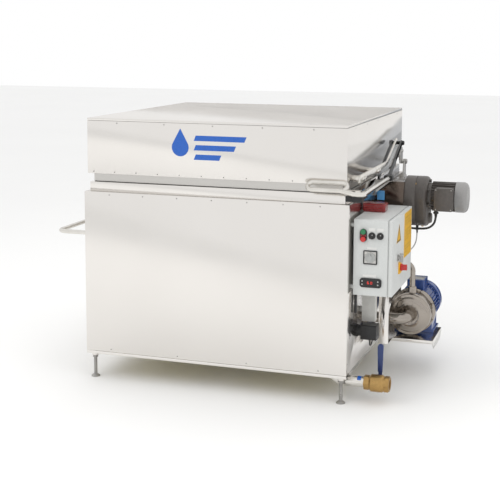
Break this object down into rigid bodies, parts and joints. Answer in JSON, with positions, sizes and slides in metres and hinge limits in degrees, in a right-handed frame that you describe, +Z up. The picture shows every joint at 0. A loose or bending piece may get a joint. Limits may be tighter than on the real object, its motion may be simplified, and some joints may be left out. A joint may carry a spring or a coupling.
{
  "type": "parts washer tank",
  "caption": "Heated, insulated tank on levelling feet with a hinged lid, motor-driven round basket, wash pump, drain valve and control cabinet.",
  "frame": {"origin": "on the floor, under the middle of the box around the whole object", "axes": "+Z up, +X to the side with the machinery, -Y to the operator at the front"},
  "size_m": [1.822, 1.2834, 1.214],
  "materials": {
    "stainless_panels": "warm satin stainless sheet",
    "stainless_inner": "dull stainless sheet",
    "stainless_tube": "polished stainless tube",
    "zinc_steel": "bright zinc plated steel",
    "mineral_wool": "pressed mineral wool",
    "black_plastic": "moulded black plastic",
    "black_steel": "black powder coat",
    "gasket_rubber": "moulded seal",
    "blue_foil": "satin foil",
    "cabinet_grey": "fine textured light grey powder coat",
    "yellow_foil": "satin foil",
    "yellow_plastic": "moulded",
    "red_plastic": "moulded",
    "green_plastic": "moulded",
    "red_lens": "translucent ribbed lens",
    "white_plastic": "smooth",
    "grey_plastic": "smooth",
    "light_grey_plastic": "smooth",
    "switchgear_grey": "moulded, on a galvanized plate",
    "drive_grey": "warm dark grey casting paint",
    "fan_cover_grey": "light grey paint",
    "shaft_steel": "ground steel",
    "bearing_steel": "machined casting",
    "pump_stainless": "pressed stainless",
    "motor_blue": "gloss blue enamel",
    "brass": "forged brass",
    "lever_blue": "dipped vinyl sleeve",
    "chrome_ball": "hard chrome",
    "cable_black": "smooth jacket",
    "cable_grey": "smooth jacket"
  },
  "bodies": {
    "tank": {"outer_panels": "stainless_panels", "inner_tank": "stainless_inner", "tank_rim": "stainless_panels", "base_frame": "stainless_panels", "levelling_feet": "zinc_steel", "side_rail": "stainless_tube", "panel_screws": "zinc_steel", "tank_insulation": "mineral_wool", "side_brackets": "zinc_steel", "lid_switch": "black_plastic", "cabinet_body": "cabinet_grey", "control_bezels": "black_plastic", "switchgear": "switchgear_grey", "label_plates": "white_plastic", "signal_lamp": "red_lens", "cable_duct": "light_grey_plastic", "cable_glands": "black_plastic", "heater": "black_plastic", "drive_console": "stainless_inner", "gear_housing": "drive_grey", "drive_motor": "drive_grey", "drive_fan_cover": "fan_cover_grey", "bearings": "bearing_steel", "wash_pipes": "stainless_tube", "pump_shelf": "stainless_panels", "pump_casing": "pump_stainless", "pump_motor": "motor_blue", "suction_pipe": "pump_stainless", "discharge_pipe": "pump_stainless", "drain_pipe": "stainless_tube", "drain_valve_body": "brass", "motor_cable": "cable_black", "sensor_cable": "cable_grey", "heater_cable": "cable_black"},
    "lid": {"lid_walls": "stainless_panels", "lid_top": "stainless_panels", "lid_liner": "stainless_inner", "lid_gasket": "gasket_rubber", "lid_decal": "blue_foil", "lid_arm": "stainless_tube", "lid_screws": "zinc_steel", "lid_hinges": "zinc_steel"},
    "lid_handle": {"fork_bars": "black_steel", "handle_tube": "stainless_tube"},
    "door": {"cabinet_door": "cabinet_grey", "door_labels": "yellow_foil", "main_switch_plate": "yellow_plastic"},
    "main_switch": {"main_switch_knob": "red_plastic"},
    "door_quarter_turn": {"door_lock": "zinc_steel"},
    "start_button": {"green_button": "green_plastic"},
    "stop_button": {"red_button": "red_plastic"},
    "selector_1": {"selector_knob_1": "black_plastic"},
    "selector_2": {"selector_knob_2": "black_plastic"},
    "timer": {"timer_dial": "grey_plastic"},
    "drive_spindle": {"drive_shaft": "shaft_steel"},
    "basket": {"basket_frame": "stainless_inner", "basket_mesh": "stainless_inner"},
    "pump_spindle": {"pump_rotor": "shaft_steel"},
    "drain_cock": {"drain_ball": "chrome_ball", "drain_lever": "lever_blue"}
  },
  "joints": [
    {"name": "lid_hinge", "type": "hinge", "parent": "tank", "child": "lid", "pos_m": [-0.129, 0.61525, 0.935], "axis": [-1, 0, 0], "range_deg": [0, 75]},
    {"name": "handle_lift", "type": "hinge", "parent": "lid", "child": "lid_handle", "pos_m": [0.521, 0.26325, 1.066], "axis": [-1, 0, 0], "range_deg": [0, 8]},
    {"name": "cabinet_door_hinge", "type": "hinge", "parent": "tank", "child": "door", "pos_m": [0.659, -0.11475, 0.65], "axis": [0, 0, 1], "range_deg": [0, 90]},
    {"name": "main_switch_turn", "type": "hinge", "parent": "door", "child": "main_switch", "pos_m": [0.674, -0.39075, 0.585], "axis": [1, 0, 0], "range_deg": [0, 90]},
    {"name": "door_lock_turn", "type": "hinge", "parent": "door", "child": "door_quarter_turn", "pos_m": [0.674, -0.43875, 0.636], "axis": [1, 0, 0], "range_deg": [0, 90]},
    {"name": "start_button_press", "type": "slide", "parent": "tank", "child": "start_button", "axis": [0, 1, 0], "range_m": [0, 0.004], "stiffness_N_per_m": 300, "springref_m": -0.002},
    {"name": "stop_button_press", "type": "slide", "parent": "tank", "child": "stop_button", "axis": [0, 1, 0], "range_m": [0, 0.004], "stiffness_N_per_m": 300, "springref_m": -0.002},
    {"name": "selector_1_turn", "type": "hinge", "parent": "tank", "child": "selector_1", "pos_m": [0.585, -0.55675, 0.747], "axis": [0, 1, 0], "range_deg": [-70, 0]},
    {"name": "selector_2_turn", "type": "hinge", "parent": "tank", "child": "selector_2", "pos_m": [0.621, -0.55675, 0.747], "axis": [0, 1, 0], "range_deg": [-70, 0]},
    {"name": "timer_turn", "type": "hinge", "parent": "tank", "child": "timer", "pos_m": [0.5795, -0.55675, 0.653], "axis": [0, 1, 0], "range_deg": [0, 300]},
    {"name": "basket_spin", "type": "hinge", "parent": "tank", "child": "basket", "pos_m": [-0.129, 0.02325, 0.3], "axis": [0, 0, 1], "continuous": true},
    {"name": "drive_spin", "type": "hinge", "parent": "tank", "child": "drive_spindle", "pos_m": [0.371, 0.02325, 0.846], "axis": [1, 0, 0], "continuous": true},
    {"name": "pump_spin", "type": "hinge", "parent": "tank", "child": "pump_spindle", "pos_m": [0.667, 0.02325, 0.296], "axis": [0, 1, 0], "continuous": true},
    {"name": "drain_lever_turn", "type": "hinge", "parent": "tank", "child": "drain_cock", "pos_m": [0.613, -0.51675, 0.091], "axis": [0, 1, 0], "range_deg": [0, 90]}
  ],
  "couplings": [
    {"joint": "drive_spin", "follows": "basket_spin", "ratio": -9.3}
  ]
}
